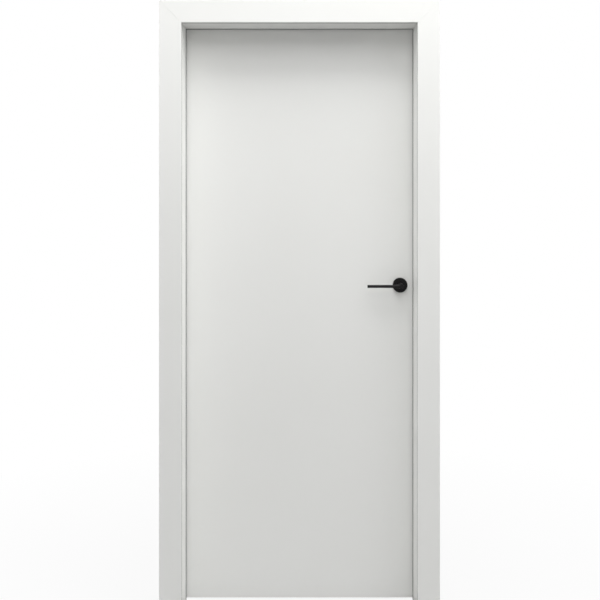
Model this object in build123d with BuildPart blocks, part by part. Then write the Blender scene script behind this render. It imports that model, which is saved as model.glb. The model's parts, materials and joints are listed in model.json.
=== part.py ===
# Interior door in an adjustable frame: a flush rebated leaf, hung on three pin
# hinges, with a lever handle on round roses and a passage latch.
# Millimetres, +Z up. X runs from the hinge side to the lock side and Y from the
# push side, where the leaf stands deep in the frame, to the pull side.
# The origin is on the wall face of the hinge side lining, at floor level and in
# the middle of the wall.
import os

from build123d import *

os.makedirs("parts", exist_ok=True)

# Doorway and wall
clear_width = 800
clear_height = 2012
wall_thickness = 120

# Frame boards
lining_thickness = 22
architrave_width = 75
architrave_thickness = 12
adjusting_joint = 5  # the lining's near edge stands behind the push side boards
face_arris = 1.0
lining_arris = 0.5
mitre_joint = 0.2

# Tongues and grooves between the frame boards
adjusting_tongue = 8
adjusting_tongue_length = 30
adjusting_tongue_seat = 5
adjusting_groove_spare = 4
fixed_tongue = 3
fixed_tongue_length = 9
tongue_clearance = 0.3
fixed_tongue_inset = 2.5
rebate_strip_width = 24
rebate_strip_seat = 2
relief_offset = 1
relief_width = 3
relief_depth = 1.5

# Rebate and its seal
rebate_width = 14
edge_gap = 5
seal_gap = 5
flange_gap = 5
seal_slot_width = 3.5
seal_slot_depth = 7
seal_reach = 1.2  # how far the seal stands out of the face of the lining
seal_relief = 0.5
seal_wall = 0.9
seal_arris = 2.2

# Leaf
leaf_thickness = 40
flange_thickness = 13
flange_cover_sides = 8
flange_cover_head = 12
floor_gap = 8
skin_thickness = 4
stile_width = 38
rail_width = 38
flange_arris = 2.0
leaf_arris = 0.8

# Lock, latch and strike
handle_height = 1110
backset = 55
case_height = 165
case_thickness = 14
case_behind_follower = 30
case_above_follower = 60
case_clearance = 0.5
faceplate_width = 18
faceplate_height = 235
faceplate_thickness = 3
faceplate_above_follower = 80
faceplate_clearance = 0.1
latch_above_follower = 18
latch_height = 28
latch_thickness = 11
latch_length = 40
latch_throw = 12
latch_nose = 3.5
latch_arris = 0.8
latch_clearance = 0.3
strike_height = 170
strike_inset = 1
strike_thickness = 2
strike_return = 10
strike_pocket_depth = 14
strike_play = 3
strike_lip_play = 1

# Handle
rose_radius = 26
rose_thickness = 8
rose_arris = 1.5
rose_bore_clearance = 0.5
lever_projection = 50
lever_length = 118
lever_radius = 5.2
neck_radius = 9
flare_length = 28
lever_tip_arris = 1.5
neck_arris = 3
flare_inset = 0.8
lever_leaf_gap = 1
spindle_size = 8
spindle_grip = 30
spindle_end_play = 1
spindle_clearance = 0.05
follower_radius = 9
follower_clearance = 0.1
handle_hole_radius = 11

# Hinges
hinge_end_distance = 230
barrel_radius = 7.5
barrel_length = 38
barrel_edge_gap = 2
barrel_arris = 1.5
pin_radius = 3.5
pin_length = 30
pin_clearance = 0.05
pin_end_play = 1
washer_thickness = 0.8
washer_clearance = 0.2
washer_inset = 0.8
stem_clearance = 0.05
stem_spacing = 18
stem_end_distance = 10
frame_stem_radius = 4
frame_stem_depth = 22
leaf_stem_radius = 3.2
leaf_stem_depth = 34
lug_edge_gap = 1
lug_height = 11

# Planes of the frame
x_hinge_clear = lining_thickness
x_lock_clear = x_hinge_clear + clear_width
z_clear = clear_height
y_push_wall = -wall_thickness / 2
y_pull_wall = wall_thickness / 2
y_push_face = y_push_wall - architrave_thickness
y_pull_face = y_pull_wall + architrave_thickness
body_thickness = leaf_thickness - flange_thickness
y_stop = y_pull_face - (seal_gap + body_thickness - flange_gap)

# Planes of the leaf
y_leaf_push = y_stop + seal_gap
y_flange = y_leaf_push + body_thickness
y_leaf_pull = y_leaf_push + leaf_thickness
x_body_hinge = x_hinge_clear - rebate_width + edge_gap
x_body_lock = x_lock_clear + rebate_width - edge_gap
x_flange_hinge = x_hinge_clear - rebate_width - flange_cover_sides
x_flange_lock = x_lock_clear + rebate_width + flange_cover_sides
z_leaf_bottom = floor_gap
z_body_top = z_clear + rebate_width - edge_gap
z_flange_top = z_clear + rebate_width + flange_cover_head

# Axes of the moving pieces
x_handle = x_body_lock - backset
z_handle = handle_height
z_latch = z_handle + latch_above_follower
y_lock = y_leaf_push + body_thickness / 2
x_pin = x_flange_hinge - barrel_edge_gap - barrel_radius
y_pin = y_leaf_pull
x_strike = x_lock_clear + rebate_width
hinge_low = z_leaf_bottom + hinge_end_distance
hinge_high = z_flange_top - hinge_end_distance
hinge_heights = {
    "bottom": hinge_low,
    "middle": (hinge_low + hinge_high) / 2,
    "top": hinge_high,
}


def block(x, y, z, mode=Mode.ADD):
    """A box between two values on each axis, in the part being built."""
    middle = tuple((low + high) / 2 for low, high in (x, y, z))
    size = tuple(high - low for low, high in (x, y, z))
    with Locations(middle):
        Box(*size, mode=mode)


def rod_along_y(x, z, radius, y, mode=Mode.ADD):
    """A round rod or hole between two depths, in the part being built."""
    with BuildSketch(Plane.XZ.offset(-y[0])) as disc:
        with Locations((x, z)):
            Circle(radius)
    extrude(disc.sketch, amount=-(y[1] - y[0]), mode=mode)


def save(part, name):
    """Labels one finished piece and writes it to its own file."""
    part.label = name
    export_step(part, f"parts/{name}.step")


# Frame profiles: X is the distance outwards from the clear opening and Y is depth
adjusting_middle = lining_thickness / 2
fixed_tongue_near = rebate_width + fixed_tongue_inset
tongue_root = y_push_wall - adjusting_tongue_seat
tongue_tip = y_push_wall + adjusting_tongue_length
relief_middle = lining_thickness + relief_offset + relief_width / 2

with BuildSketch() as front_architrave_profile:
    with Locations((architrave_width / 2, (y_push_face + y_push_wall) / 2)):
        Rectangle(architrave_width, architrave_thickness)
    fillet(front_architrave_profile.vertices().group_by(Axis.Y)[0], face_arris)
    with Locations((adjusting_middle, (tongue_root + y_push_wall) / 2)):
        Rectangle(adjusting_tongue, adjusting_tongue_seat, mode=Mode.SUBTRACT)
    with Locations((relief_middle, y_push_wall - relief_depth / 2)):
        Rectangle(relief_width, relief_depth, mode=Mode.SUBTRACT)

with BuildSketch() as adjusting_tongue_profile:
    with Locations((adjusting_middle, (tongue_root + tongue_tip) / 2)):
        Rectangle(adjusting_tongue, tongue_tip - tongue_root)

y_strip_seat = y_pull_wall + rebate_strip_seat
strip_far = rebate_width + rebate_strip_width
with BuildSketch() as back_architrave_profile:
    with Locations(((rebate_width + architrave_width) / 2, (y_pull_wall + y_pull_face) / 2)):
        Rectangle(architrave_width - rebate_width, architrave_thickness)
    fillet(back_architrave_profile.vertices().group_by(Axis.Y)[-1], face_arris)
    with Locations(((rebate_width + strip_far) / 2, (y_pull_wall + y_strip_seat) / 2)):
        Rectangle(rebate_strip_width, rebate_strip_seat, mode=Mode.SUBTRACT)

with BuildSketch() as rebate_strip_profile:
    with Locations(((rebate_width + strip_far) / 2, (y_stop + y_strip_seat) / 2)):
        Rectangle(rebate_strip_width, y_strip_seat - y_stop)
    with Locations((fixed_tongue_near + fixed_tongue / 2, y_stop - fixed_tongue_length / 2)):
        Rectangle(fixed_tongue, fixed_tongue_length)

y_lining = y_push_wall + adjusting_joint
with BuildSketch() as lining_profile:
    with Locations((lining_thickness / 2, (y_lining + y_stop) / 2)):
        Rectangle(lining_thickness, y_stop - y_lining)
    fillet(lining_profile.vertices().group_by(Axis.X)[0], lining_arris)
    groove_end = tongue_tip + adjusting_groove_spare
    with Locations((adjusting_middle, (y_lining + groove_end) / 2)):
        Rectangle(
            adjusting_tongue + 2 * tongue_clearance,
            groove_end - y_lining,
            mode=Mode.SUBTRACT,
        )
    fixed_groove = fixed_tongue_length + tongue_clearance
    with Locations((fixed_tongue_near + fixed_tongue / 2, y_stop - fixed_groove / 2)):
        Rectangle(fixed_tongue + 2 * tongue_clearance, fixed_groove, mode=Mode.SUBTRACT)
    with Locations((rebate_width - seal_slot_width / 2, y_stop - seal_slot_depth / 2)):
        Rectangle(seal_slot_width, seal_slot_depth, mode=Mode.SUBTRACT)


seal_near = -seal_reach
seal_crown = y_stop + seal_gap - seal_relief


def bulb(inset, arris):
    """The outline of the seal's bulb, or of its hollow where it is set in by the wall."""
    width = rebate_width - seal_near - 2 * inset
    height = seal_crown - y_stop - 2 * inset
    with BuildSketch() as outline:
        with Locations(((seal_near + rebate_width) / 2, (y_stop + seal_crown) / 2)):
            Rectangle(width, height)
        fillet(outline.vertices().group_by(Axis.Y)[-1], arris)
    return outline.sketch


with BuildSketch() as gasket_profile:
    add(bulb(0, seal_arris))
    add(bulb(seal_wall, seal_arris - seal_wall), mode=Mode.SUBTRACT)
    with Locations((rebate_width - seal_slot_width / 2, y_stop - seal_slot_depth / 2)):
        Rectangle(seal_slot_width, seal_slot_depth)

# Each side of the frame: where its profile stands, how far it runs and its mitres
member_top = z_clear + architrave_width
hinge_side = Plane((x_hinge_clear, 0, member_top), x_dir=(-1, 0, 0), z_dir=(0, 0, -1))
lock_side = Plane((x_lock_clear, 0, 0), x_dir=(1, 0, 0), z_dir=(0, 0, 1))
head_side = Plane((x_lock_clear + architrave_width, 0, z_clear), x_dir=(0, 0, 1), z_dir=(-1, 0, 0))
hinge_mitre = Plane((x_hinge_clear, 0, z_clear), x_dir=(0, 1, 0), z_dir=(1, 0, 1))
lock_mitre = Plane((x_lock_clear, 0, z_clear), x_dir=(0, 1, 0), z_dir=(-1, 0, 1))
runs = {
    "hinge_side": (hinge_side, member_top, [(hinge_mitre, Keep.BOTTOM)]),
    "lock_side": (lock_side, member_top, [(lock_mitre, Keep.BOTTOM)]),
    "head": (
        head_side,
        clear_width + 2 * architrave_width,
        [(hinge_mitre, Keep.TOP), (lock_mitre, Keep.TOP)],
    ),
}


def frame_member(profile, side):
    """One board or seal of the frame, run along its side and cut to the mitres."""
    plane, length, mitres = runs[side]
    with BuildPart() as member:
        with BuildSketch(plane):
            add(profile.sketch)
        extrude(amount=length)
        for mitre, kept in mitres:
            shift = mitre_joint / 2 if kept == Keep.TOP else -mitre_joint / 2
            split(bisect_by=mitre.offset(shift), keep=kept)
    return member.part


# Frame boards and seals that are the plain profile
for side in runs:
    save(frame_member(front_architrave_profile, side), f"front_architrave_{side}")
    save(frame_member(adjusting_tongue_profile, side), f"adjusting_tongue_{side}")
    save(frame_member(lining_profile, side), f"lining_{side}")
    save(frame_member(gasket_profile, side), f"gasket_{side}")
save(frame_member(back_architrave_profile, "head"), "back_architrave_head")
save(frame_member(rebate_strip_profile, "head"), "rebate_strip_head")

# Hinge side boards of the pull side, drilled for the hinge stems
stem_offsets = (stem_end_distance, stem_end_distance + stem_spacing)
drilled = {
    "back_architrave_hinge_side": back_architrave_profile,
    "rebate_strip_hinge_side": rebate_strip_profile,
}
for name, profile in drilled.items():
    with BuildPart() as drilled_board:
        add(frame_member(profile, "hinge_side"))
        for middle in hinge_heights.values():
            for drop in stem_offsets:
                rod_along_y(
                    x_pin,
                    middle - drop,
                    frame_stem_radius + stem_clearance,
                    (y_pull_face - frame_stem_depth - stem_clearance, y_pull_face),
                    Mode.SUBTRACT,
                )
    save(drilled_board.part, name)

# Strike plate: a leg on the rebate wall, a return on the frame's face and the latch hole
y_strike_near = y_leaf_push + strike_inset
latch_near = y_lock - latch_thickness / 2
latch_far = y_lock + latch_thickness / 2
hole_near = latch_near - strike_play
hole_far = latch_far + strike_lip_play
hole_low = z_latch - latch_height / 2 - strike_play
hole_high = z_latch + latch_height / 2 + strike_play
strike_low = z_latch - strike_height / 2

with BuildSketch(Plane.XY.offset(strike_low)) as strike_profile:
    with BuildLine():
        Polyline(
            (x_strike, y_strike_near),
            (x_strike + strike_thickness, y_strike_near),
            (x_strike + strike_thickness, y_pull_face - strike_thickness),
            (x_strike + strike_return, y_pull_face - strike_thickness),
            (x_strike + strike_return, y_pull_face),
            (x_strike, y_pull_face),
            close=True,
        )
    make_face()

with BuildPart() as strike_plate:
    extrude(strike_profile.sketch, amount=strike_height)
    bend = strike_plate.edges().filter_by(Axis.Z).filter_by_position(Axis.X, x_strike, x_strike)
    fillet(bend.sort_by(Axis.Y)[-1], face_arris)
    block(
        (x_strike - strike_thickness, x_strike + 2 * strike_thickness),
        (hole_near, hole_far),
        (hole_low, hole_high),
        Mode.SUBTRACT,
    )
save(strike_plate.part, "strike_plate")

# Lock side boards of the pull side, cut for the strike plate and the latch pocket
recessed = {
    "back_architrave_lock_side": back_architrave_profile,
    "rebate_strip_lock_side": rebate_strip_profile,
}
for name, profile in recessed.items():
    with BuildPart() as recessed_board:
        add(frame_member(profile, "lock_side"))
        extrude(strike_profile.sketch, amount=strike_height, mode=Mode.SUBTRACT)
        block(
            (x_strike, x_strike + strike_pocket_depth),
            (hole_near, hole_far),
            (hole_low, hole_high),
            Mode.SUBTRACT,
        )
    save(recessed_board.part, name)

# Leaf: two skins over stiles, rails, core and the lippings that make the flange
y_core = (y_leaf_push + skin_thickness, y_leaf_pull - skin_thickness)
z_leaf = (z_leaf_bottom, z_flange_top)
x_core = (x_body_hinge + stile_width, x_body_lock - stile_width)
z_core = (z_leaf_bottom + rail_width, z_body_top - rail_width)
case_low = z_handle + case_above_follower - case_height
case_high = z_handle + case_above_follower
x_case = (x_handle - case_behind_follower, x_body_lock - faceplate_thickness)
face_high = z_handle + faceplate_above_follower
face_low = face_high - faceplate_height

with BuildSketch(Plane.YZ.offset(x_body_lock)) as faceplate_outline:
    with Locations((y_lock, (face_low + face_high) / 2)):
        SlotOverall(faceplate_height, faceplate_width, rotation=90)

with BuildSketch(Plane.YZ.offset(x_body_lock)) as faceplate_recess:
    with Locations((y_lock, (face_low + face_high) / 2)):
        SlotOverall(
            faceplate_height + 2 * faceplate_clearance,
            faceplate_width + 2 * faceplate_clearance,
            rotation=90,
        )


def lock_mortise():
    """The room for the lock case and its faceplate, cut from the part being built."""
    block(
        (x_case[0] - case_clearance, x_body_lock),
        (y_lock - case_thickness / 2 - case_clearance, y_lock + case_thickness / 2 + case_clearance),
        (case_low - case_clearance, case_high + case_clearance),
        Mode.SUBTRACT,
    )


with BuildPart() as leaf_push_skin:
    block((x_body_hinge, x_body_lock), (y_leaf_push, y_core[0]), (z_leaf_bottom, z_body_top))
    fillet(leaf_push_skin.faces().sort_by(Axis.Y)[0].edges(), leaf_arris)
    rod_along_y(x_handle, z_handle, handle_hole_radius, (y_leaf_push, y_core[0]), Mode.SUBTRACT)
save(leaf_push_skin.part, "leaf_push_skin")

with BuildPart() as leaf_pull_skin:
    block((x_flange_hinge, x_flange_lock), (y_core[1], y_leaf_pull), z_leaf)
    fillet(leaf_pull_skin.faces().sort_by(Axis.Y)[-1].edges(), flange_arris)
    rod_along_y(x_handle, z_handle, handle_hole_radius, (y_core[1], y_leaf_pull), Mode.SUBTRACT)
save(leaf_pull_skin.part, "leaf_pull_skin")

# Stems of the hinges that enter the flange, one pair at each hinge
y_leaf_stem = (y_flange + y_core[1]) / 2


def leaf_stems(middle, start, radius, mode=Mode.ADD):
    """The two stems of one hinge, from a start beside the flange into the stile."""
    with BuildSketch(Plane.YZ.offset(start)) as stems:
        for lift in stem_offsets:
            with Locations((y_leaf_stem, middle + lift)):
                Circle(radius)
    extrude(stems.sketch, amount=x_flange_hinge + leaf_stem_depth - start, mode=mode)


y_lipping = (y_flange, y_core[1])
hinge_edge_blocks = {
    "leaf_hinge_stile": ((x_body_hinge, x_core[0]), y_core, (z_leaf_bottom, z_body_top)),
    "leaf_hinge_lipping": ((x_flange_hinge, x_body_hinge), y_lipping, z_leaf),
}
for name, extents in hinge_edge_blocks.items():
    with BuildPart() as hinge_edge:
        block(*extents)
        for middle in hinge_heights.values():
            leaf_stems(middle, x_flange_hinge, leaf_stem_radius + stem_clearance, Mode.SUBTRACT)
    save(hinge_edge.part, name)

with BuildPart() as leaf_lock_stile:
    block((x_core[1], x_body_lock), y_core, (z_leaf_bottom, z_body_top))
    lock_mortise()
    extrude(faceplate_recess.sketch, amount=-faceplate_thickness, mode=Mode.SUBTRACT)
save(leaf_lock_stile.part, "leaf_lock_stile")

with BuildPart() as leaf_lock_lipping:
    block((x_body_lock, x_flange_lock), y_lipping, z_leaf)
save(leaf_lock_lipping.part, "leaf_lock_lipping")

with BuildPart() as leaf_top_rail:
    block(x_core, y_core, (z_core[1], z_body_top))
save(leaf_top_rail.part, "leaf_top_rail")

with BuildPart() as leaf_top_lipping:
    block((x_body_hinge, x_body_lock), y_lipping, (z_body_top, z_flange_top))
save(leaf_top_lipping.part, "leaf_top_lipping")

with BuildPart() as leaf_bottom_rail:
    block(x_core, y_core, (z_leaf_bottom, z_core[0]))
save(leaf_bottom_rail.part, "leaf_bottom_rail")

with BuildPart() as leaf_core:
    block(x_core, y_core, z_core)
    rod_along_y(x_handle, z_handle, handle_hole_radius, y_core, Mode.SUBTRACT)
    lock_mortise()
save(leaf_core.part, "leaf_core")

# Latch bolt: drawn in, flush with the faceplate, as while a lever is held down, and
# bevelled on the side that meets the strike when the leaf closes
x_latch_tail = x_body_lock - latch_length
with BuildPart() as latch_bolt:
    with BuildSketch(Plane.XY.offset(z_latch - latch_height / 2)):
        with BuildLine():
            Polyline(
                (x_latch_tail, latch_near),
                (x_body_lock - latch_throw, latch_near),
                (x_body_lock, latch_far - latch_nose),
                (x_body_lock, latch_far),
                (x_latch_tail, latch_far),
                close=True,
            )
        make_face()
    extrude(amount=latch_height)
    fillet(latch_bolt.faces().sort_by(Axis.X)[-1].edges().filter_by(Axis.Z), latch_arris)
save(latch_bolt.part, "latch_bolt")

# Lock case with the follower's bore and the latch's slide, and the faceplate on it
slide_y = (latch_near - latch_clearance, latch_far + latch_clearance)
slide_z = (
    z_latch - latch_height / 2 - latch_clearance,
    z_latch + latch_height / 2 + latch_clearance,
)
y_case = (y_lock - case_thickness / 2, y_lock + case_thickness / 2)
with BuildPart() as lock_case:
    block(x_case, y_case, (case_low, case_high))
    rod_along_y(x_handle, z_handle, follower_radius + follower_clearance, y_case, Mode.SUBTRACT)
    block((x_latch_tail - latch_clearance, x_case[1]), slide_y, slide_z, Mode.SUBTRACT)
save(lock_case.part, "lock_case")

with BuildPart() as lock_faceplate:
    extrude(faceplate_outline.sketch, amount=-faceplate_thickness)
    block((x_case[1], x_body_lock), slide_y, slide_z, Mode.SUBTRACT)
save(lock_faceplate.part, "lock_faceplate")

# Square spindle, and the follower that turns with it in the lock case
with BuildPart() as spindle:
    spindle_ends = (y_leaf_push - spindle_grip, y_leaf_pull + spindle_grip)
    half = spindle_size / 2
    block((x_handle - half, x_handle + half), spindle_ends, (z_handle - half, z_handle + half))
save(spindle.part, "spindle")


def spindle_socket(y):
    """The square hole for the spindle between two depths, cut from the part being built."""
    half_socket = spindle_size / 2 + spindle_clearance
    block(
        (x_handle - half_socket, x_handle + half_socket),
        y,
        (z_handle - half_socket, z_handle + half_socket),
        Mode.SUBTRACT,
    )


with BuildPart() as lock_follower:
    rod_along_y(x_handle, z_handle, follower_radius, y_case)
    spindle_socket(y_case)
save(lock_follower.part, "lock_follower")


def rose(y_face, outwards):
    """A round rose on a face of the leaf, with the bore for the lever's neck."""
    with BuildPart() as disc:
        with BuildSketch(Plane.XZ.offset(-y_face)):
            with Locations((x_handle, z_handle)):
                Circle(rose_radius)
                Circle(neck_radius + rose_bore_clearance, mode=Mode.SUBTRACT)
        extrude(amount=-outwards * rose_thickness)
        outer = disc.edges().filter_by(GeomType.CIRCLE).group_by(SortBy.RADIUS)[-1]
        fillet(outer.sort_by(Axis.Y)[-1 if outwards > 0 else 0], rose_arris)
    return disc.part


def lever(y_face, outwards):
    """A lever: a round neck from the rose, a flare and a slim bar towards the hinge side."""
    y_end = y_face + outwards * lever_projection
    y_bar = y_end - outwards * lever_radius
    y_flare = y_end - outwards * neck_radius
    y_root = y_face + outwards * lever_leaf_gap
    with BuildPart() as handle:
        rod_along_y(x_handle, z_handle, neck_radius, sorted((y_root, y_end)))
        crown = handle.edges().filter_by(GeomType.CIRCLE).sort_by(Axis.Y)
        fillet(crown[-1 if outwards > 0 else 0], neck_arris)
        with BuildSketch(Plane.YZ.offset(x_handle)):
            with Locations((y_flare, z_handle)):
                Circle(neck_radius - flare_inset)
        with BuildSketch(Plane.YZ.offset(x_handle - flare_length)):
            with Locations((y_bar, z_handle)):
                Circle(lever_radius)
        loft()
        with BuildSketch(Plane.YZ.offset(x_handle - flare_length)):
            with Locations((y_bar, z_handle)):
                Circle(lever_radius)
        extrude(amount=-(lever_length - flare_length))
        tip = handle.faces().sort_by(Axis.X)[0].edges()
        fillet(tip, lever_tip_arris)
        spindle_socket(sorted((y_root, y_face + outwards * (spindle_grip + spindle_end_play))))
    return handle.part


save(rose(y_leaf_push, -1), "push_rose")
save(rose(y_leaf_pull, 1), "pull_rose")
save(lever(y_leaf_push, -1), "push_lever")
save(lever(y_leaf_pull, 1), "pull_lever")


def hinge_frame_half(middle):
    """The lower half of a hinge: barrel, washer, pin and the stems into the frame."""
    with BuildPart() as half_hinge:
        with Locations((x_pin, y_pin, middle - washer_thickness)):
            Cylinder(barrel_radius, barrel_length, align=(Align.CENTER, Align.CENTER, Align.MAX))
        chamfer(half_hinge.faces().sort_by(Axis.Z)[0].edges(), barrel_arris)
        with Locations((x_pin, y_pin, middle - washer_thickness)):
            Cylinder(
                barrel_radius - washer_inset,
                washer_thickness - washer_clearance,
                align=(Align.CENTER, Align.CENTER, Align.MIN),
            )
            Cylinder(pin_radius, pin_length, align=(Align.CENTER, Align.CENTER, Align.MIN))
        for drop in stem_offsets:
            rod_along_y(
                x_pin,
                middle - drop,
                frame_stem_radius,
                (y_pull_face - frame_stem_depth, y_pin),
            )
    return half_hinge.part


def hinge_leaf_half(middle):
    """The upper half of a hinge: the bored barrel, its lugs and the stems into the flange."""
    with BuildPart() as half_hinge:
        with Locations((x_pin, y_pin, middle)):
            Cylinder(barrel_radius, barrel_length, align=(Align.CENTER, Align.CENTER, Align.MIN))
        chamfer(half_hinge.faces().sort_by(Axis.Z)[-1].edges(), barrel_arris)
        for lift in stem_offsets:
            block(
                (x_pin, x_flange_hinge - lug_edge_gap),
                (y_leaf_stem - leaf_stem_radius, y_pin),
                (middle + lift - lug_height / 2, middle + lift + lug_height / 2),
            )
        leaf_stems(middle, x_flange_hinge - 2 * lug_edge_gap, leaf_stem_radius)
        with Locations((x_pin, y_pin, middle)):
            Cylinder(
                pin_radius + pin_clearance,
                pin_length + pin_end_play,
                align=(Align.CENTER, Align.CENTER, Align.MIN),
                mode=Mode.SUBTRACT,
            )
    return half_hinge.part


for place, height in hinge_heights.items():
    save(hinge_frame_half(height), f"hinge_{place}_frame_half")
    save(hinge_leaf_half(height), f"hinge_{place}_leaf_half")
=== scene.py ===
"""Dresses a flush white interior door that hangs in an adjustable lined frame.

Metres, +Z up. X runs from the hinge side to the lock side, and Y from the push
side, which the camera sees, to the pull side, where the leaf opens.
"""

import json
import logging
import math
from dataclasses import dataclass
from enum import Enum
from typing import Iterable, Protocol

import bmesh
import bpy
from mathutils import Matrix, Vector

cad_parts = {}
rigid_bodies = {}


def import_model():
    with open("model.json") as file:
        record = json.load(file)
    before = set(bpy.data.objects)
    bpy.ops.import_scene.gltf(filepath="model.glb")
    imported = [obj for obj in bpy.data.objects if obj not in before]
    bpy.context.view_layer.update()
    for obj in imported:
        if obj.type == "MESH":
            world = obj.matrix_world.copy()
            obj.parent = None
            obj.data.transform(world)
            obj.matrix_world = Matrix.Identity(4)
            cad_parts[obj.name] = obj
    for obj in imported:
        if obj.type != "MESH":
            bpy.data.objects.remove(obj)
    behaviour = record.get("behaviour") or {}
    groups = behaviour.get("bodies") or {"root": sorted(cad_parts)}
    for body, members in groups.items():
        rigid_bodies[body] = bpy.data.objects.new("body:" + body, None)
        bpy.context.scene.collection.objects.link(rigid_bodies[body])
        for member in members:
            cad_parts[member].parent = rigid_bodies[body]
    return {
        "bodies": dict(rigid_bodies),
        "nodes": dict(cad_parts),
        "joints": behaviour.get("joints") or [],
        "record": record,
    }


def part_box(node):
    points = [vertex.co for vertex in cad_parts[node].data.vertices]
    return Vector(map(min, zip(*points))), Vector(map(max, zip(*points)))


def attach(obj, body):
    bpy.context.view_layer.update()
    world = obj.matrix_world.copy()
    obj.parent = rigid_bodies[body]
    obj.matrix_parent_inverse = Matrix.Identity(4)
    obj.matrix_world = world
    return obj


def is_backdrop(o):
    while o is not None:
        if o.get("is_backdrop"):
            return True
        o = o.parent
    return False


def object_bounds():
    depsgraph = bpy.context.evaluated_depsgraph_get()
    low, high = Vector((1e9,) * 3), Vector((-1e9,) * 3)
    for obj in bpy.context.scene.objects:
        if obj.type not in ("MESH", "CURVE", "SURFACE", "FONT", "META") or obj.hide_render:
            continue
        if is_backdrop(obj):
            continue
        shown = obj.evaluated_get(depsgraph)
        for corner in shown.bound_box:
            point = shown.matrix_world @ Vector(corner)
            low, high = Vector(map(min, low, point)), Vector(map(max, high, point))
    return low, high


LOG = logging.getLogger("door")
Triple = tuple[float, float, float]
Colour = Triple
Socket = bpy.types.NodeSocket

# Metres, and the least height of a normal that counts as facing up
LEVEL_TOLERANCE = 1e-6
MERGE_DISTANCE = 1e-7
FACING_UP = 0.99
ROUND_PROFILE = 0.5
HEXAGON_STEP = math.tau / 6


class Slot(Enum):
    """The material slots of the record, by their names there."""

    FRAME = "white_frame_lacquer"
    LEAF = "white_leaf_lacquer"
    BOARD = "raw_board"
    SEAL = "grey_seal"
    NICKEL = "satin_nickel"
    ZINC = "zinc_steel"
    BLACK = "black_powder_coat"


class Axis(Enum):
    """A direction in the frame of the door, as a unit vector."""

    X = (1.0, 0.0, 0.0)
    Y = (0.0, 1.0, 0.0)
    Z = (0.0, 0.0, 1.0)
    MINUS_X = (-1.0, 0.0, 0.0)
    MINUS_Y = (0.0, -1.0, 0.0)
    MINUS_Z = (0.0, 0.0, -1.0)

    @property
    def turn(self) -> Matrix:
        """The rotation that takes +Z to this direction."""
        return Vector(self.value).to_track_quat("Z", "Y").to_matrix().to_4x4()


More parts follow.
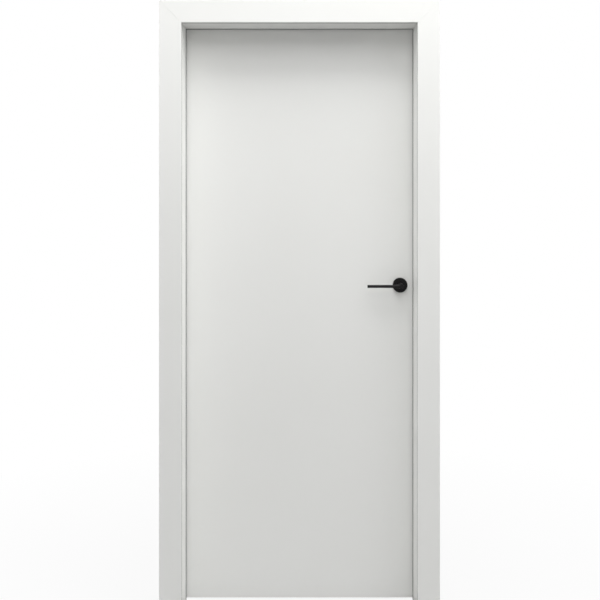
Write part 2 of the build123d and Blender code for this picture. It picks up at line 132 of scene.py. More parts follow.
class Graph:
    """A material's node tree, with short calls for the nodes that the finishes use."""

    def __init__(self, name: str) -> None:
        """Starts an empty material.

        Args:
            name: The material's name.
        """
        self.material = bpy.data.materials.new(name)
        self.material.use_nodes = True
        self.nodes = self.material.node_tree.nodes
        self.links = self.material.node_tree.links
        self.nodes.clear()
        self.coords: Socket = self.node("ShaderNodeTexCoord").outputs["Object"]

    def node(self, kind: str, **settings: object) -> bpy.types.Node:
        """Adds a node.

        Args:
            kind: The node's Blender type.
            settings: Properties to set on it.

        Returns:
            The new node.
        """
        made = self.nodes.new(kind)
        for key, value in settings.items():
            setattr(made, key, value)
        return made

    def feed(self, node: bpy.types.Node, **inputs: object) -> None:
        """Links or sets a node's inputs.

        Args:
            node: The node to feed.
            inputs: Input names, with _ for a space, and a socket or a value for each.
        """
        for key, value in inputs.items():
            socket = node.inputs[key.replace("_", " ")]
            if isinstance(value, bpy.types.NodeSocket):
                self.links.new(value, socket)
            else:
                socket.default_value = value

    def axes(self) -> tuple[Socket, Socket, Socket]:
        """The object's X, Y and Z.

        Returns:
            The three coordinates.
        """
        split = self.node("ShaderNodeSeparateXYZ")
        self.feed(split, Vector=self.coords)
        return split.outputs["X"], split.outputs["Y"], split.outputs["Z"]

    def stretched(self, scale: Triple) -> Socket:
        """The object coordinates, scaled on each axis.

        Args:
            scale: The factor on X, Y and Z.

        Returns:
            The mapped vector.
        """
        mapping = self.node("ShaderNodeMapping")
        self.feed(mapping, Vector=self.coords, Scale=scale)
        return mapping.outputs["Vector"]

    def noise(
        self, scale: float, detail: float = 2.0, roughness: float = 0.5, vector: Socket | None = None
    ) -> Socket:
        """A noise pattern.

        Args:
            scale: Cells to the metre, about.
            detail: Octaves.
            roughness: How strong the fine octaves are.
            vector: The coordinates, or none for the object's own.

        Returns:
            The noise, from 0 to 1.
        """
        made = self.node("ShaderNodeTexNoise")
        source = self.coords if vector is None else vector
        self.feed(made, Vector=source, Scale=scale, Detail=detail, Roughness=roughness)
        return made.outputs["Fac"]

    def span(self, value: Socket, low: float, high: float, start: float = 0.3, end: float = 0.7) -> Socket:
        """Spreads a pattern over a range of numbers.

        Args:
            value: The pattern.
            low: What start becomes.
            high: What end becomes.
            start: The pattern's value at the low end.
            end: The pattern's value at the high end.

        Returns:
            The number in its new range.
        """
        made = self.node("ShaderNodeMapRange")
        self.feed(made, Value=value, From_Min=start, From_Max=end, To_Min=low, To_Max=high)
        return made.outputs["Result"]

    def calc(self, operation: str, first: Socket, second: Socket | float) -> Socket:
        """One step of arithmetic.

        Args:
            operation: Blender's name of the step.
            first: The first number.
            second: The second number.

        Returns:
            The result.
        """
        made = self.node("ShaderNodeMath", operation=operation)
        self.links.new(first, made.inputs[0])
        if isinstance(second, bpy.types.NodeSocket):
            self.links.new(second, made.inputs[1])
        else:
            made.inputs[1].default_value = second
        return made.outputs[0]

    def mix(self, factor: Socket, first: Colour | Socket, second: Colour | Socket) -> Socket:
        """Mixes two colours by a pattern.

        Args:
            factor: The share of the second colour.
            first: The first colour, or a socket that gives it.
            second: The second colour, or a socket that gives it.

        Returns:
            The mixed colour.
        """
        made = self.node("ShaderNodeMix", data_type="RGBA")
        self.links.new(factor, made.inputs["Factor"])
        first_socket, second_socket = (s for s in made.inputs if s.type == "RGBA")
        for socket, colour in ((first_socket, first), (second_socket, second)):
            if isinstance(colour, bpy.types.NodeSocket):
                self.links.new(colour, socket)
            else:
                socket.default_value = (*colour, 1.0)
        return next(s for s in made.outputs if s.type == "RGBA")

    def mix_vectors(self, factor: Socket, first: Socket, second: Socket) -> Socket:
        """Mixes two normals by a pattern.

        Args:
            factor: The share of the second normal.
            first: The first normal.
            second: The second normal.

        Returns:
            The mixed normal.
        """
        made = self.node("ShaderNodeMix", data_type="VECTOR")
        self.links.new(factor, made.inputs["Factor"])
        first_socket, second_socket = (s for s in made.inputs if s.type == "VECTOR" and s.name in "AB")
        self.links.new(first, first_socket)
        self.links.new(second, second_socket)
        return next(s for s in made.outputs if s.type == "VECTOR")

    def bump(
        self, height: Socket, distance: float, strength: float = 1.0, under: Socket | None = None
    ) -> Socket:
        """A bump from a height pattern.

        Args:
            height: The pattern.
            distance: How high its full range stands, in metres.
            strength: The share of the bump that is used.
            under: The normal of a coarser bump below this one.

        Returns:
            The normal.
        """
        made = self.node("ShaderNodeBump")
        self.feed(made, Height=height, Distance=distance, Strength=strength)
        if under is not None:
            self.feed(made, Normal=under)
        return made.outputs["Normal"]

    def shade(self, **inputs: object) -> bpy.types.Material:
        """Ends the tree with a principled shader.

        Args:
            inputs: The shader's inputs, as for feed.

        Returns:
            The finished material.
        """
        shader = self.node("ShaderNodeBsdfPrincipled")
        self.feed(shader, **inputs)
        output = self.node("ShaderNodeOutputMaterial")
        self.links.new(shader.outputs["BSDF"], output.inputs["Surface"])
        return self.material


class Finish(Protocol):
    """What every finish can do."""

    slot: Slot

    def build(self) -> bpy.types.Material:
        """Makes the finish.

        Returns:
            Its material.
        """
        ...


@dataclass(frozen=True)
class RawBoard:
    """The cut side of a particle board: pale chips in a darker ground."""

    slot: Slot
    chip: Colour = (0.54, 0.42, 0.28)
    ground: Colour = (0.37, 0.265, 0.16)
    chip_cells: float = 820.0
    chip_stretch: Triple = (0.45, 0.45, 1.0)
    chip_relief: float = 0.0004
    chip_strength: float = 0.5
    dust_cells: float = 1500.0
    dust_relief: float = 0.0001
    dust_strength: float = 0.6
    roughness: float = 0.85

    def pattern(self, graph: Graph) -> tuple[Socket, Socket]:
        """Makes the board's colour and normal in a graph.

        Args:
            graph: The graph that takes the nodes.

        Returns:
            The colour and the normal.
        """
        chips = graph.node("ShaderNodeTexVoronoi")
        stretched = graph.stretched(self.chip_stretch)
        graph.feed(chips, Vector=stretched, Scale=self.chip_cells, Randomness=1.0)
        split = graph.node("ShaderNodeSeparateColor")
        graph.feed(split, Color=chips.outputs["Color"])
        share = graph.span(split.outputs["Red"], 0.0, 1.0, start=0.1, end=0.9)
        normal = graph.bump(chips.outputs["Distance"], self.chip_relief, self.chip_strength)
        normal = graph.bump(graph.noise(self.dust_cells), self.dust_relief, self.dust_strength, normal)
        return graph.mix(share, self.chip, self.ground), normal

    def build(self) -> bpy.types.Material:
        """Makes the board from flat chips and a fine dust.

        Returns:
            The material.
        """
        graph = Graph(self.slot.value)
        colour, normal = self.pattern(graph)
        return graph.shade(Base_Color=colour, Roughness=self.roughness, Normal=normal)


class Bare(Enum):
    """Where a lacquered board shows its raw side."""

    WALL_SIDE = "the faces that stand against the wall"
    FOOT = "the cut foot of the leaf"


@dataclass(frozen=True)
class Lacquer:
    """Sprayed satin lacquer on a board, with a faint orange peel and a raw hidden side."""

    slot: Slot
    bare: Bare
    colour: Colour = (0.800, 0.803, 0.785)
    deep_colour: Colour = (0.786, 0.788, 0.768)
    roughness: float = 0.36
    tone_cells: float = 1.7
    gloss_cells: float = 9.0
    peel_cells: float = 420.0
    peel_height: float = 0.00003
    sweep_cells: float = 34.0
    sweep_height: float = 0.00006
    wall_half: float = 0.0603
    # painted shade: a near-black colour that stands for the shadow inside the joint behind the near boards
    joint_shade_colour: Colour = (0.06, 0.06, 0.058)
    joint_end: float = -0.0545
    joint_faces: Triple = (0.0152, 0.8288, 2.0188)
    wall_faces: Triple = (0.0004, 0.8436, 2.0336)
    foot_level: float = 0.0084

    def bare_share(self, graph: Graph) -> Socket:
        """Marks the raw faces.

        Args:
            graph: The graph that takes the nodes.

        Returns:
            One on a raw face and zero on the lacquer.
        """
        x, y, z = graph.axes()
        if self.bare is Bare.FOOT:
            return graph.calc("LESS_THAN", z, self.foot_level)
        near, far, head = self.wall_faces
        share = graph.calc("LESS_THAN", x, near)
        for beyond in (graph.calc("GREATER_THAN", x, far), graph.calc("GREATER_THAN", z, head)):
            share = graph.calc("MAXIMUM", share, beyond)
        return graph.calc("MULTIPLY", share, self.within_wall(graph, y))

    def joint_shade_share(self, graph: Graph) -> Socket:
        """Marks the lining's near end, which shows in the joint behind the near boards, where the joint's
        shadow is painted.

        Args:
            graph: The graph that takes the nodes.

        Returns:
            One on the dark primed end and zero on the lacquer.
        """
        x, y, z = graph.axes()
        near, far, head = self.joint_faces
        share = graph.calc("GREATER_THAN", x, near)
        for place, limit in ((x, far), (z, head), (y, self.joint_end)):
            share = graph.calc("MINIMUM", share, graph.calc("LESS_THAN", place, limit))
        return graph.calc("MULTIPLY", share, self.within_wall(graph, y))

    def within_wall(self, graph: Graph, across: Socket) -> Socket:
        """Marks what lies between the wall's two faces.

        Args:
            graph: The graph that takes the nodes.
            across: The place across the wall.

        Returns:
            One inside the wall's thickness and zero outside.
        """
        return graph.calc("LESS_THAN", graph.calc("ABSOLUTE", across, 0.0), self.wall_half)

    def build(self) -> bpy.types.Material:
        """Makes the lacquer: a slow change of tone, the spray's sweep and its orange peel.

        Returns:
            The material.
        """
        graph = Graph(self.slot.value)
        tone = graph.span(graph.noise(self.tone_cells, 3.0), 0.0, 1.0)
        normal = graph.bump(graph.noise(self.sweep_cells, 1.0, 0.4), self.sweep_height)
        normal = graph.bump(graph.noise(self.peel_cells, 2.0, 0.45), self.peel_height, under=normal)
        gloss = graph.noise(self.gloss_cells, 3.0)
        rough = graph.span(gloss, self.roughness - 0.03, self.roughness + 0.04)
        board = RawBoard(Slot.BOARD)
        board_colour, board_normal = board.pattern(graph)
        share = self.bare_share(graph)
        colour = graph.mix(share, graph.mix(tone, self.colour, self.deep_colour), board_colour)
        if self.bare is Bare.WALL_SIDE:
            # paints the joint's shadow as a near-black colour on the lining's near end
            colour = graph.mix(self.joint_shade_share(graph), colour, self.joint_shade_colour)
        return graph.shade(
            Base_Color=colour,
            Roughness=graph.calc("MAXIMUM", rough, graph.calc("MULTIPLY", share, board.roughness)),
            Normal=graph.mix_vectors(share, normal, board_normal),
        )


@dataclass(frozen=True)
class PowderCoat:
    """Matt black powder coat with a fine grain."""

    slot: Slot
    colour: Colour
    grain_colour: Colour
    roughness: float = 0.36
    specular: float = 0.14
    grain_cells: float = 2600.0
    grain_height: float = 0.00002
    patch_cells: float = 90.0

    def build(self) -> bpy.types.Material:
        """Makes the coat: grain in its relief and, very little, its colour, patches in its gloss.

        Returns:
            The material.
        """
        graph = Graph(self.slot.value)
        grain = graph.noise(self.grain_cells, 3.0, 0.6)
        patches = graph.noise(self.patch_cells, 3.0)
        rough = graph.span(patches, self.roughness - 0.04, self.roughness + 0.05)
        colour = graph.mix(graph.span(grain, 0.0, 1.0), self.colour, self.grain_colour)
        return graph.shade(
            Base_Color=colour,
            Roughness=rough,
            Normal=graph.bump(grain, self.grain_height),
            Specular_IOR_Level=self.specular,
        )


@dataclass(frozen=True)
class SatinMetal:
    """Plated metal, brushed along one axis."""

    slot: Slot
    colour: Colour
    shade_colour: Colour
    roughness: float = 0.3
    brushing: Triple = (3200.0, 3200.0, 60.0)
    brush_height: float = 0.000004
    stain_cells: float = 55.0

    def build(self) -> bpy.types.Material:
        """Makes the plating, with brush lines in its relief and its gloss.

        Returns:
            The material.
        """
        graph = Graph(self.slot.value)
        lines = graph.noise(1.0, 3.0, 0.6, vector=graph.stretched(self.brushing))
        stain = graph.noise(self.stain_cells, 4.0)
        rough = graph.span(lines, self.roughness - 0.06, self.roughness + 0.1)
        colour = graph.mix(graph.span(stain, 0.0, 1.0), self.colour, self.shade_colour)
        return graph.shade(
            Base_Color=colour,
            Roughness=rough,
            Metallic=1.0,
            Normal=graph.bump(lines, self.brush_height),
        )


@dataclass(frozen=True)
class SealRubber:
    """Soft matt rubber with a fine grain and a dusty bloom."""

    slot: Slot
    colour: Colour
    dust_colour: Colour
    bloom_cells: float = 140.0
    grain_cells: float = 2400.0
    grain_height: float = 0.00002
    gloss_span: tuple[float, float] = (0.62, 0.75)

    def build(self) -> bpy.types.Material:
        """Makes the rubber.

        Returns:
            The material.
        """
        graph = Graph(self.slot.value)
        bloom = graph.span(graph.noise(self.bloom_cells, 4.0), 0.0, 1.0)
        colour = graph.mix(bloom, self.colour, self.dust_colour)
        return graph.shade(
            Base_Color=colour,
            Roughness=graph.span(bloom, *self.gloss_span, start=0.0, end=1.0),
            Normal=graph.bump(graph.noise(self.grain_cells), self.grain_height),
        )


FINISHES: tuple[Finish, ...] = (
    Lacquer(Slot.FRAME, Bare.WALL_SIDE),
    Lacquer(Slot.LEAF, Bare.FOOT, (0.848, 0.851, 0.832), (0.834, 0.836, 0.815), roughness=0.4),
    RawBoard(Slot.BOARD),
    SealRubber(Slot.SEAL, (0.070, 0.071, 0.073), (0.105, 0.106, 0.108)),
    SatinMetal(Slot.NICKEL, (0.66, 0.64, 0.60), (0.58, 0.56, 0.52)),
    SatinMetal(Slot.ZINC, (0.60, 0.61, 0.62), (0.50, 0.52, 0.54), roughness=0.38),
    PowderCoat(Slot.BLACK, (0.008, 0.008, 0.008), (0.013, 0.013, 0.013)),
)


class Wardrobe:
    """Every finish as a material, and the dressing of pieces with them."""

    def __init__(self, finishes: Iterable[Finish]) -> None:
        """Builds the materials.

        Args:
            finishes: One finish for each slot.
        """
        self.materials = {finish.slot: finish.build() for finish in finishes}

    def dress(self, piece: bpy.types.Object, slot: Slot) -> None:
        """Gives a piece one finish all over.

        Args:
            piece: The object to dress.
            slot: The slot whose finish it takes.
        """
        piece.data.materials.clear()
        piece.data.materials.append(self.materials[slot])

    def dress_nodes(self, frame: dict) -> None:
        """Dresses every node of the solid model in the finish of its own slot.
        """
        for row in frame["record"]["subparts"]:
            self.dress(frame["nodes"][row["node"]], Slot(row["material_slot"]))
            LOG.info("node %s wears %s", row["node"], row["material_slot"])


def finished(
    mesh: bmesh.types.BMesh, name: str, place: Matrix, smooth_angle: float = 35.0
) -> bpy.types.Object:
    """Turns a built mesh into an object at the origin, with its place in its mesh.

    Args:
        mesh: The built mesh, which is freed.
        name: The piece's name.
        place: Where the mesh goes in the door's frame.
        smooth_angle: Edges under this many degrees shade smooth.

    Returns:
        The new object.
    """
    bmesh.ops.recalc_face_normals(mesh, faces=mesh.faces)
    if mesh.calc_volume(signed=True) < 0.0:
        bmesh.ops.reverse_faces(mesh, faces=mesh.faces)
    mesh.transform(place)
    for face in mesh.faces:
        face.smooth = True
    for edge in mesh.edges:
        edge.smooth = edge.calc_face_angle(math.pi) < math.radians(smooth_angle)
    data = bpy.data.meshes.new(name)
    mesh.to_mesh(data)
    mesh.free()
    piece = bpy.data.objects.new(name, data)
    bpy.context.scene.collection.objects.link(piece)
    return piece


def place_at(point: Vector | Triple, axis: Axis, spin: float = 0.0) -> Matrix:
    """The transform that takes a mesh made along +Z to its place on the door.

    Args:
        point: Where its origin goes.
        axis: Where its +Z goes.
        spin: A turn about its own axis, in degrees.

    Returns:
        The transform.
    """
    return Matrix.Translation(Vector(point)) @ axis.turn @ Matrix.Rotation(math.radians(spin), 4, "Z")


def settle(piece: bpy.types.Object, body: str, slot: Slot, wardrobe: Wardrobe) -> None:
    """Dresses a new piece in its slot's finish and hangs it on its body.

    Args:
        piece: The new piece.
        body: The body that carries it.
        slot: Its material slot.
        wardrobe: The materials.
    """
    wardrobe.dress(piece, slot)
    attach(piece, body)
    LOG.info("piece %s rides on %s", piece.name, body)


def stub(sides: int, foot_radius: float, top_radius: float, depth: float) -> bmesh.types.BMesh:
    """A round stub along +Z with its top at zero.

    Args:
        sides: How many sides it has.
        foot_radius: Its radius at the foot.
        top_radius: Its radius at the top.
        depth: How deep it reaches.

    Returns:
        The closed shape.
    """
    shape = bmesh.new()
    bmesh.ops.create_cone(
        shape,
        cap_ends=True,
        segments=sides,
        radius1=foot_radius,
        radius2=top_radius,
        depth=depth,
        matrix=Matrix.Translation((0.0, 0.0, -depth / 2)),
    )
    return shape


def round_rim(shape: bmesh.types.BMesh, width: float, steps: int) -> None:
    """Rounds the edge round the top of a stub.

    Args:
        shape: The stub to change.
        width: The width of the rounding.
        steps: How many faces it has across.
    """
    rim = [edge for edge in shape.edges if all(vert.co.z > -LEVEL_TOLERANCE for vert in edge.verts)]
    bmesh.ops.bevel(
        shape, geom=rim, offset=width, affect="EDGES", segments=steps, profile=ROUND_PROFILE, material=-1
    )


@dataclass
class CountersunkScrew:
    """The raised head of a countersunk wood screw, with a cross recess."""

    head_radius: float = 0.0037
    head_depth: float = 0.0018
    neck_share: float = 0.5
    rim_bevel: float = 0.00035
    rim_steps: int = 4
    recess_length: float = 0.0042
    recess_width: float = 0.001
    recess_depth: float = 0.00045
    recess_floor_share: float = 0.8
    sides: int = 48

    def mesh(self) -> bmesh.types.BMesh:
        """Makes the head along +Z with its top at zero.

        Returns:
            The head.
        """
        neck_radius = self.head_radius * self.neck_share
        head = stub(self.sides, neck_radius, self.head_radius, self.head_depth)
        round_rim(head, self.rim_bevel, self.rim_steps)
        self.cut_recess(head)
        return head

    def cut_recess(self, head: bmesh.types.BMesh) -> None:
        """Sinks the cross into the top of a head.

        Args:
            head: The head to change.
        """
        for axis in (Vector(Axis.X.value), Vector(Axis.Y.value)):
            for reach in (self.recess_width / 2, self.recess_length / 2):
                for side in (-reach, reach):
                    top = [face for face in head.faces if face.normal.z > FACING_UP]
                    around = {edge for face in top for edge in face.edges}
                    corners = {vert for face in top for vert in face.verts}
                    bmesh.ops.bisect_plane(
                        head, geom=[*top, *around, *corners], plane_co=axis * side, plane_no=axis
                    )
        cross = [
            face
            for face in head.faces
            if face.normal.z > FACING_UP and self.in_cross(face.calc_center_median())
        ]
        sunk = bmesh.ops.extrude_face_region(head, geom=cross)["geom"]
        bmesh.ops.delete(head, geom=cross, context="FACES_KEEP_BOUNDARY")
        floor = [part for part in sunk if isinstance(part, bmesh.types.BMVert)]
        bmesh.ops.translate(head, verts=floor, vec=(0.0, 0.0, -self.recess_depth))
        bmesh.ops.scale(
            head, verts=floor, vec=(self.recess_floor_share, self.recess_floor_share, 1.0)
        )

    def in_cross(self, point: Vector) -> bool:
        """Says whether a point of the top is over the cross.

        Args:
            point: The point.

        Returns:
            Whether it is over one of the two bars.
        """
        near, far = sorted((abs(point.x), abs(point.y)))
        return near < self.recess_width / 2 and far < self.recess_length / 2


@dataclass
class GrubScrew:
    """A headless screw with a hexagon socket, seen at its outer end."""

    radius: float = 0.002
    depth: float = 0.0015
    socket_half: float = 0.00105
    socket_depth: float = 0.0011
    socket_inset_share: float = 0.3
    rim_bevel: float = 0.0002
    rim_steps: int = 2
    sides: int = 36

    def mesh(self) -> bmesh.types.BMesh:
        """Makes the screw's end along +Z with its top at zero.

        Returns:
            The screw's end.
        """
        screw = stub(self.sides, self.radius, self.radius, self.depth)
        round_rim(screw, self.rim_bevel, self.rim_steps)
        top = max(screw.faces, key=lambda face: face.calc_center_median().z)
        inset = self.radius * self.socket_inset_share
        bmesh.ops.inset_individual(screw, faces=[top], thickness=inset)
        for vert in top.verts:
            angle = math.atan2(vert.co.y, vert.co.x)
            from_flat = (angle + HEXAGON_STEP / 2) % HEXAGON_STEP - HEXAGON_STEP / 2
            reach = self.socket_half / math.cos(from_flat)
            vert.co.x, vert.co.y = reach * math.cos(angle), reach * math.sin(angle)
        sunk = bmesh.ops.extrude_discrete_faces(screw, faces=[top])["faces"]
        bmesh.ops.translate(screw, verts=sunk[0].verts, vec=(0.0, 0.0, -self.socket_depth))
        return screw


@dataclass
class Turned:
    """A turned ring or cap, spun from a short outline about +Z."""

    outline: tuple[tuple[float, float], ...]
    sides: int = 64

    def mesh(self) -> bmesh.types.BMesh:
        """Spins the outline of radius and height pairs.

        Returns:
            The closed shape.
        """
        shape = bmesh.new()
        verts = [shape.verts.new((radius, 0.0, height)) for radius, height in self.outline]
        edges = [shape.edges.new(pair) for pair in zip(verts, verts[1:])]
        bmesh.ops.spin(
            shape,
            geom=[*verts, *edges],
            cent=(0.0, 0.0, 0.0),
            axis=Axis.Z.value,
            angle=math.tau,
            steps=self.sides,
            use_merge=True,
        )
        bmesh.ops.remove_doubles(shape, verts=shape.verts, dist=MERGE_DISTANCE)
        return shape


@dataclass
class LockFittings:
    """The raised screws of the lock's faceplate and of the strike plate."""

    wardrobe: Wardrobe
    screw: CountersunkScrew
    faceplate_end: float = 0.013
    faceplate_spins: tuple[float, float] = (18.0, 62.0)
    strike_end: float = 0.016
    strike_spins: tuple[float, float] = (35.0, 8.0)
    proud: float = 0.0005

    def build(self) -> None:
        """Seats two screws in each plate."""
        self.build_faceplate_screws()
        self.build_strike_screws()

    def build_faceplate_screws(self) -> None:
        """Seats the screws at the two ends of the faceplate."""
        low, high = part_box("lock_faceplate")
        middle = (low.y + high.y) / 2
        ends = {"lower": low.z + self.faceplate_end, "upper": high.z - self.faceplate_end}
        for (name, level), spin in zip(ends.items(), self.faceplate_spins):
            place = place_at((high.x + self.proud, middle, level), Axis.X, spin)
            piece = finished(self.screw.mesh(), f"faceplate_screw_{name}", place)
            settle(piece, "leaf", Slot.NICKEL, self.wardrobe)

    def build_strike_screws(self) -> None:
        """Seats the screws above and below the strike's hole."""
        low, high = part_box("strike_plate")
        middle = (low.y + high.y) / 2
        ends = {"lower": low.z + self.strike_end, "upper": high.z - self.strike_end}
        for (name, level), spin in zip(ends.items(), self.strike_spins):
            place = place_at((low.x - self.proud, middle, level), Axis.MINUS_X, spin)
            piece = finished(self.screw.mesh(), f"strike_screw_{name}", place)
            settle(piece, "frame", Slot.NICKEL, self.wardrobe)


@dataclass
class HandleFittings:
    """The grub screw under each lever's neck and the bearing ring in each rose."""

    wardrobe: Wardrobe
    neck_radius: float = 0.009
    bore_radius: float = 0.0095
    ring_gap: float = 0.0001
    ring_depth: float = 0.0005
    ring_width: float = 0.004
    grub_from_rose: float = 0.006

    def build(self) -> None:
        """Fits both sides of the door."""
        for side, axis in (("push", Axis.MINUS_Y), ("pull", Axis.Y)):
            low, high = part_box(f"{side}_rose")
            centre = (low + high) / 2
            face = low.y if axis is Axis.MINUS_Y else high.y
            outwards = axis.value[1]
            self.build_ring(side, Vector((centre.x, face, centre.z)), axis)
            level = centre.z - self.neck_radius
            spot = Vector((centre.x, face + outwards * self.grub_from_rose, level))
            piece = finished(GrubScrew().mesh(), f"{side}_lever_grub_screw", place_at(spot, Axis.MINUS_Z))
            settle(piece, "handle", Slot.ZINC, self.wardrobe)

    def build_ring(self, side: str, point: Vector, axis: Axis) -> None:
        """Fits the ring between a rose and its neck.

        Args:
            side: The name of the door's side.
            point: The middle of the rose's face.
            axis: The way that the rose faces.
        """
        near, far = self.neck_radius + self.ring_gap, self.bore_radius - self.ring_gap
        top, bottom = -self.ring_depth, -self.ring_depth - self.ring_width
        outline = ((near, top), (far, top), (far, bottom), (near, bottom), (near, top))
        piece = finished(Turned(outline).mesh(), f"{side}_rose_bearing", place_at(point, axis))
        settle(piece, "leaf", Slot.BLACK, self.wardrobe)


@dataclass
class HingeFittings:
    """The height screw in the foot of each hinge and the cap on its head."""

    wardrobe: Wardrobe
    screw: GrubScrew
    screw_spin: float = 12.0
    cap_radius: float = 0.0056
    cap_height: float = 0.0007
    cap_seat: float = 0.0004
    crown_turns: tuple[float, ...] = (0.0, 0.35, 0.7, 1.05, 1.35)

    def build(self) -> None:
        """Fits the three hinges."""
        for height in ("bottom", "middle", "top"):
            low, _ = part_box(f"hinge_{height}_frame_half")
            _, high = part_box(f"hinge_{height}_leaf_half")
            x, y = self.pin(low, high)
            foot = place_at((x, y, low.z), Axis.MINUS_Z, self.screw_spin)
            piece = finished(self.screw.mesh(), f"hinge_{height}_height_screw", foot)
            settle(piece, "frame", Slot.ZINC, self.wardrobe)
            head = place_at((x, y, high.z), Axis.Z)
            piece = finished(self.cap().mesh(), f"hinge_{height}_cap", head)
            settle(piece, "leaf", Slot.NICKEL, self.wardrobe)

    def pin(self, low: Vector, high: Vector) -> tuple[float, float]:
        """Finds the middle of a hinge's barrel.

        Args:
            low: The low corner of the half on the frame.
            high: The high corner of the half on the leaf.

        Returns:
            The pin's X and Y.
        """
        radius = high.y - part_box("leaf_pull_skin")[1].y
        return low.x + radius, high.y - radius

    def cap(self) -> Turned:
        """Makes the outline of a shallow crowned cap.

        Returns:
            The cap, with its seat below zero.
        """
        radius, height = self.cap_radius, self.cap_height
        crown = ((radius * math.cos(turn), height * math.sin(turn)) for turn in self.crown_turns)
        return Turned(((0.0, -self.cap_seat), (radius, -self.cap_seat), *crown, (0.0, height)))


@dataclass(frozen=True)
class Lamp:
    """One soft rectangular lamp, placed from the middle of the door's foot on the push side."""

    name: str
    place: Triple
    aim: Triple
    size: tuple[float, float]
    power: float


LAMPS: tuple[Lamp, ...] = (
    Lamp("overhead", (0.0, -1.03, 4.3), (0.0, 0.07, 1.2), (2.6, 1.4), 65.0),
    Lamp("overhead_lock_side", (1.48, -1.23, 4.1), (0.0, 0.07, 1.2), (2.0, 1.6), 23.0),
    Lamp("front", (0.0, -2.93, 4.0), (0.0, 0.07, 1.1), (3.0, 2.0), 34.0),
    Lamp("front_lock_side", (2.6, -1.8, 3.0), (0.0, 0.07, 1.0), (1.6, 1.2), 15.0),
    Lamp("lock_side", (3.2, -0.6, 2.3), (0.0, 0.0, 1.8), (0.8, 1.0), 33.0),
    Lamp("hinge_side", (-3.2, -0.6, 2.3), (0.0, 0.0, 1.8), (0.8, 1.0), 29.0),
    Lamp("rear", (-1.2, 3.2, 3.6), (0.0, 0.07, 1.0), (2.6, 2.2), 80.0),
    Lamp("rear_low", (0.8, 3.6, 1.2), (0.0, 0.07, 0.9), (2.4, 1.6), 24.0),
)


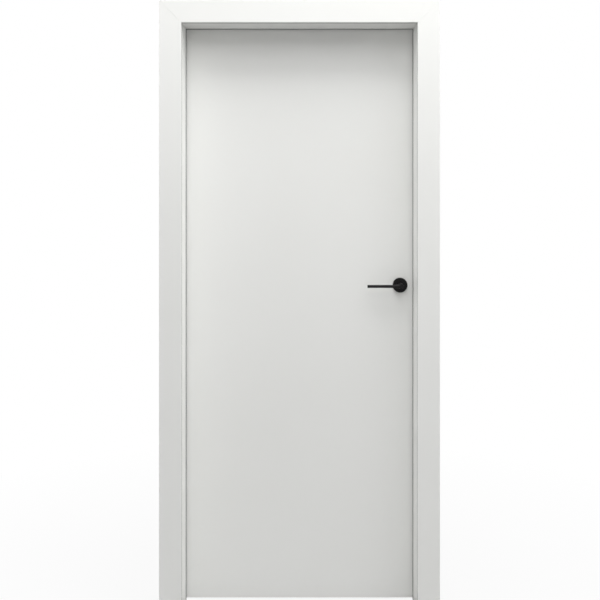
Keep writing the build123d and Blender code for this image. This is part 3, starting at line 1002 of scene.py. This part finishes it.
@dataclass
class Studio:
    """A white room with soft lamps, and the camera at the photograph's place."""

    middle: float
    front: float
    camera_distance: float = 2.817
    camera_height: float = 1.4426
    camera_offset: float = 0.0017
    lens: float = 50.0
    sensor: float = 36.0
    horizon_shift: float = -0.1822
    clip_start: float = 0.05
    clip_end: float = 100.0
    ambient: float = 0.31
    floor_size: float = 40.0
    floor_level: float = -0.0005
    floor_shade: float = 0.55
    shadow_share: float = 0.1
    shadow_reach: tuple[float, float] = (0.7, 2.0)

    def build_camera(self) -> None:
        """Stands the camera level in front of the push side."""
        data = bpy.data.cameras.new("camera")
        data.lens = self.lens
        data.sensor_width = self.sensor
        data.shift_y = self.horizon_shift
        data.clip_start = self.clip_start
        data.clip_end = self.clip_end
        camera = bpy.data.objects.new("camera", data)
        camera.location = (
            self.middle + self.camera_offset,
            self.front - self.camera_distance,
            self.camera_height,
        )
        camera.rotation_euler = (math.radians(90.0), 0.0, 0.0)
        bpy.context.scene.collection.objects.link(camera)
        bpy.context.scene.camera = camera

    def build_lamp(self, lamp: Lamp) -> None:
        """Hangs one lamp.

        Args:
            lamp: The lamp, placed from the middle of the door's foot.
        """
        foot = Vector((self.middle, self.front, 0.0))
        data = bpy.data.lights.new(lamp.name, "AREA")
        data.shape = "RECTANGLE"
        data.size, data.size_y = lamp.size
        data.energy = lamp.power
        hung = bpy.data.objects.new(lamp.name, data)
        hung.location = foot + Vector(lamp.place)
        hung.rotation_euler = (Vector(lamp.aim) - Vector(lamp.place)).to_track_quat("-Z", "Y").to_euler()
        bpy.context.scene.collection.objects.link(hung)

    def build_world(self) -> None:
        """Gives a white background to the camera and reflections, and plain soft light to the rest."""
        world = bpy.data.worlds.new("room")
        bpy.context.scene.world = world
        world.use_nodes = True
        nodes, links = world.node_tree.nodes, world.node_tree.links
        nodes.clear()
        path = nodes.new("ShaderNodeLightPath")
        seen: Socket = path.outputs["Is Camera Ray"]
        for ray in ("Is Glossy Ray", "Is Transmission Ray"):
            either = nodes.new("ShaderNodeMath")
            either.operation = "MAXIMUM"
            links.new(seen, either.inputs[0])
            links.new(path.outputs[ray], either.inputs[1])
            seen = either.outputs[0]
        mix = nodes.new("ShaderNodeMixShader")
        links.new(seen, mix.inputs["Fac"])
        for place, strength in ((1, self.ambient), (2, 1.0)):
            white = nodes.new("ShaderNodeBackground")
            white.inputs["Color"].default_value = (1.0, 1.0, 1.0, 1.0)
            white.inputs["Strength"].default_value = strength
            links.new(white.outputs[0], mix.inputs[place])
        output = nodes.new("ShaderNodeOutputWorld")
        links.new(mix.outputs[0], output.inputs["Surface"])

    def build_floor(self) -> None:
        """Lays a pale floor at level zero, which keeps the door's shadow and fades to white."""
        plane = bmesh.new()
        bmesh.ops.create_grid(plane, x_segments=1, y_segments=1, size=self.floor_size / 2)
        floor = finished(plane, "floor", Matrix.Translation((self.middle, 0.0, self.floor_level)))
        graph = Graph("floor_paint")
        paint = graph.node("ShaderNodeBsdfDiffuse")
        paint.inputs["Color"].default_value = (self.floor_shade,) * 3 + (1.0,)
        white = graph.node("ShaderNodeEmission")
        distance = graph.node("ShaderNodeVectorMath", operation="DISTANCE")
        graph.links.new(graph.coords, distance.inputs[0])
        distance.inputs[1].default_value = (self.middle, 0.0, 0.0)
        start, end = self.shadow_reach
        share = graph.span(distance.outputs["Value"], 1.0 - self.shadow_share, 1.0, start, end)
        path = graph.node("ShaderNodeLightPath")
        share = graph.calc("MULTIPLY", path.outputs["Is Camera Ray"], share)
        mix = graph.node("ShaderNodeMixShader")
        graph.links.new(share, mix.inputs["Fac"])
        graph.links.new(paint.outputs[0], mix.inputs[1])
        graph.links.new(white.outputs[0], mix.inputs[2])
        output = graph.node("ShaderNodeOutputMaterial")
        graph.links.new(mix.outputs[0], output.inputs["Surface"])
        floor.data.materials.append(graph.material)
        floor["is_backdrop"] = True

    def build(self) -> None:
        """Builds the camera, the lamps, the room and the floor."""
        self.build_camera()
        for lamp in LAMPS:
            self.build_lamp(lamp)
        self.build_world()
        self.build_floor()
        bpy.context.scene.view_settings.view_transform = "Standard"
        LOG.info("studio built")


def main() -> None:
    """Loads the frame, dresses it, adds the small pieces and sets the studio."""
    logging.basicConfig(level=logging.INFO, format="%(name)s: %(message)s")
    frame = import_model()
    cad_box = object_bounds()
    wardrobe = Wardrobe(FINISHES)
    wardrobe.dress_nodes(frame)
    LockFittings(wardrobe, CountersunkScrew()).build()
    HandleFittings(wardrobe).build()
    HingeFittings(wardrobe, GrubScrew(radius=0.003, socket_half=0.0016)).build()
    low, high = cad_box
    Studio(middle=(low.x + high.x) / 2, front=low.y).build()


if __name__ == "__main__":
    main()
